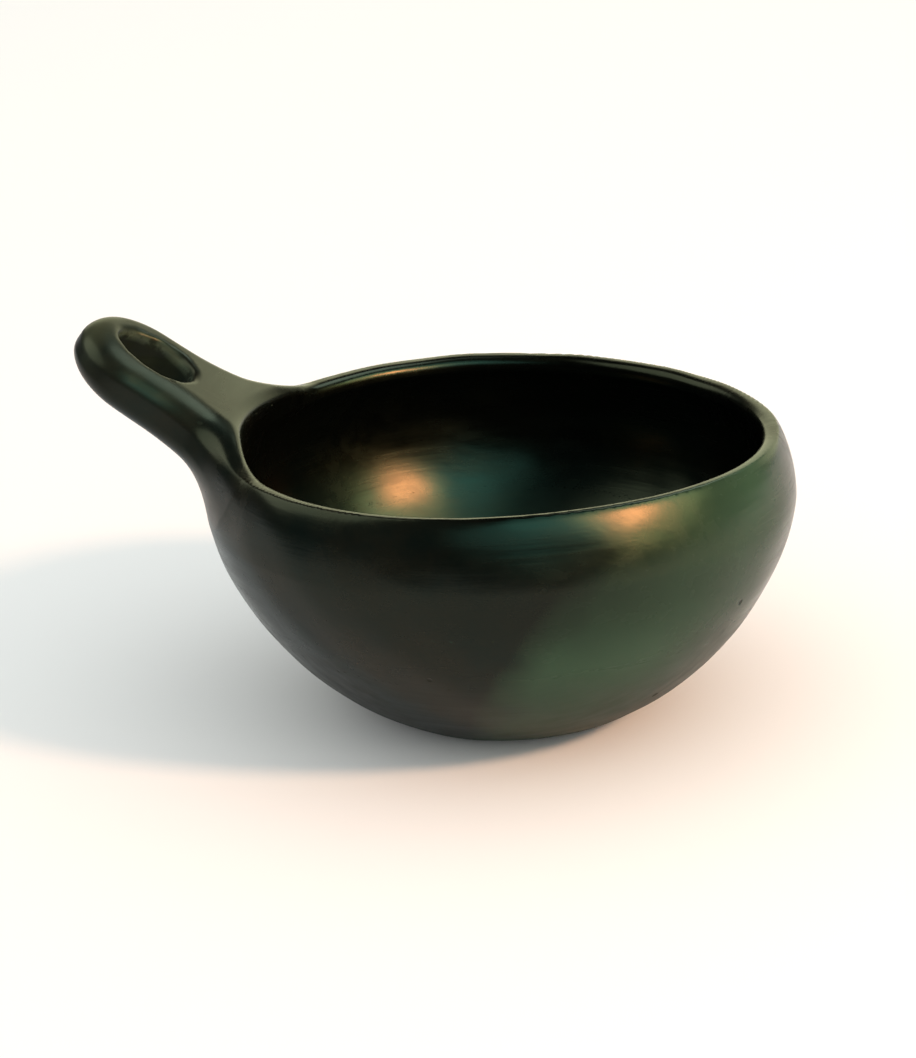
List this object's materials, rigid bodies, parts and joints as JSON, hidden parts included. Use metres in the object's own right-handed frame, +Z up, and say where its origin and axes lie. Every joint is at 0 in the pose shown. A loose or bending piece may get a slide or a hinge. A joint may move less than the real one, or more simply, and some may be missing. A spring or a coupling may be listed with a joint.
{
  "type": "black clay bowl with handle",
  "caption": "Round-bellied burnished black clay bowl with a rolled lip and an upswept lug handle pierced by an eye.",
  "frame": {"origin": "centre of the flat base where it rests, on the bowl's axis", "axes": "+Z up along the bowl's axis out of its mouth; the handle points along -X, turned 9 degrees towards +Y; -Y is the side seen in front"},
  "size_m": [0.1769, 0.1359, 0.0948],
  "materials": {
    "black_clay": "smoke-fired black clay, stone-burnished to a satin sheen"
  },
  "bodies": {
    "root": {"base_slab": "black_clay", "wall_coil_lower": "black_clay", "wall_coil_middle": "black_clay", "wall_coil_upper": "black_clay", "rim_coil": "black_clay", "handle_lug": "black_clay", "luting_coil": "black_clay"}
  },
  "joints": []
}
